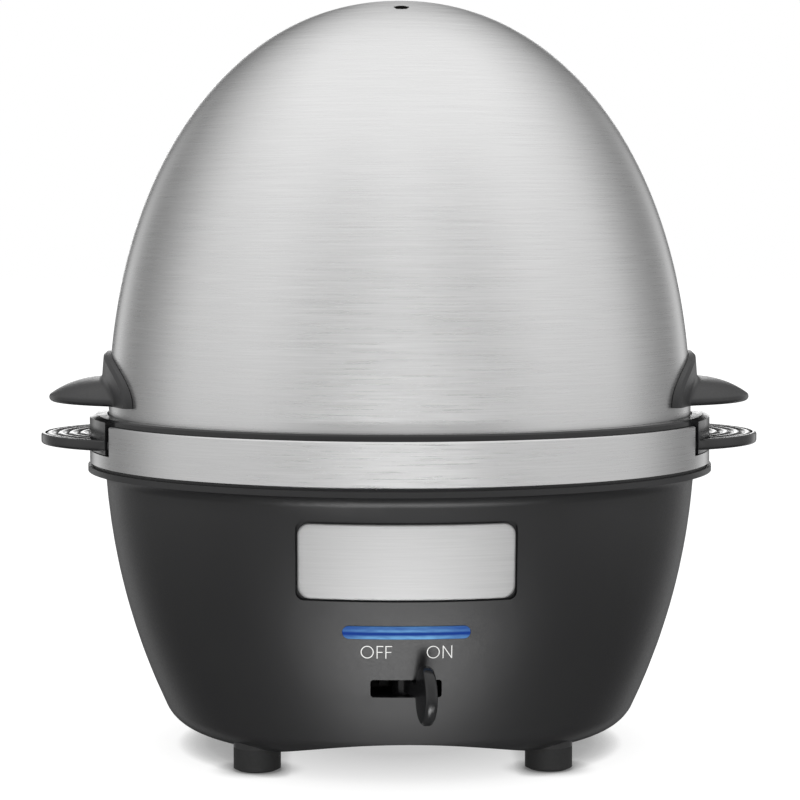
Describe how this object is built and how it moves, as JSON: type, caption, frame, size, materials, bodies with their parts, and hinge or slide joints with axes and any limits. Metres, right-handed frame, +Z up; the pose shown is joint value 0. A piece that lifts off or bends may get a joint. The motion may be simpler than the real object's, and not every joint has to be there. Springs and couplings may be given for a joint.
{
  "type": "electric egg cooker",
  "caption": "Electric egg cooker: egg-shaped steel lid with wing handles, lift-out egg racks over a heated water dish, moulded base with steel trim band, light bar and on/off lever.",
  "frame": {"origin": "on the table, under the middle of the base", "axes": "+Z up along the lid's axis, -Y out of the front with the lever, +X through the right-hand grip"},
  "size_m": [0.1898, 0.1648, 0.1965],
  "materials": {
    "housing_plastic": "fine satin moulding, charcoal",
    "brushed_steel": "brushed round the axis",
    "blue_lens": "clear blue, lit",
    "circuit_board": "solder mask",
    "pale_plastic": "natural",
    "black_plastic": "moulded",
    "dish_steel": "spun",
    "rubber": "matte",
    "plated_steel": "zinc plated",
    "element_steel": "heat dulled",
    "lever_plastic": "semi-gloss",
    "brass": "plain",
    "rack_plastic": "gloss moulding",
    "handle_plastic": "satin moulding"
  },
  "bodies": {
    "base": {"base_shell": "housing_plastic", "steel_band": "brushed_steel", "badge_plate": "brushed_steel", "indicator_lens": "blue_lens", "light_board": "circuit_board", "indicator_leds": "pale_plastic", "buzzer": "black_plastic", "heating_plate": "dish_steel", "plate_seal": "rubber", "plate_nuts": "plated_steel", "heating_element": "element_steel", "thermostat": "black_plastic", "sensor_bracket": "plated_steel", "bracket_nuts": "plated_steel", "thermal_fuse": "pale_plastic", "switch_bracket": "black_plastic", "bracket_screws": "plated_steel", "lever_pin": "plated_steel", "pin_clip": "plated_steel", "switch_housing": "black_plastic", "switch_terminals": "brass", "cord_gland": "rubber", "terminal_block": "pale_plastic", "bottom_cover": "black_plastic", "cover_screws": "plated_steel", "foot_front_left": "rubber", "foot_front_right": "rubber", "foot_rear_left": "rubber", "foot_rear_right": "rubber"},
    "lever": {"power_lever": "lever_plastic"},
    "slider": {"switch_slider": "black_plastic"},
    "rack": {"lower_rack": "rack_plastic"},
    "top_rack": {"upper_rack": "rack_plastic"},
    "lid": {"lid_dome": "brushed_steel", "lid_handle_left": "handle_plastic", "lid_handle_right": "handle_plastic", "handle_screws": "plated_steel"}
  },
  "joints": [
    {"name": "rack_lift", "type": "slide", "parent": "base", "child": "rack", "axis": [0, 0, 1], "range_m": [0, 0.06]},
    {"name": "top_rack_lift", "type": "slide", "parent": "rack", "child": "top_rack", "axis": [0, 0, 1], "range_m": [0, 0.06]},
    {"name": "lid_lift", "type": "slide", "parent": "top_rack", "child": "lid", "axis": [0, 0, 1], "range_m": [0, 0.12]},
    {"name": "lever_swing", "type": "hinge", "parent": "base", "child": "lever", "pos_m": [0, -0.05922, 0.0258], "axis": [0, 0, 1], "range_deg": [-34, 0]},
    {"name": "switch_slide", "type": "slide", "parent": "base", "child": "slider", "axis": [1, 0, 0], "range_m": [0, 0.00411]}
  ],
  "couplings": [
    {"joint": "switch_slide", "follows": "lever_swing", "m_per_rad": -0.0069}
  ]
}
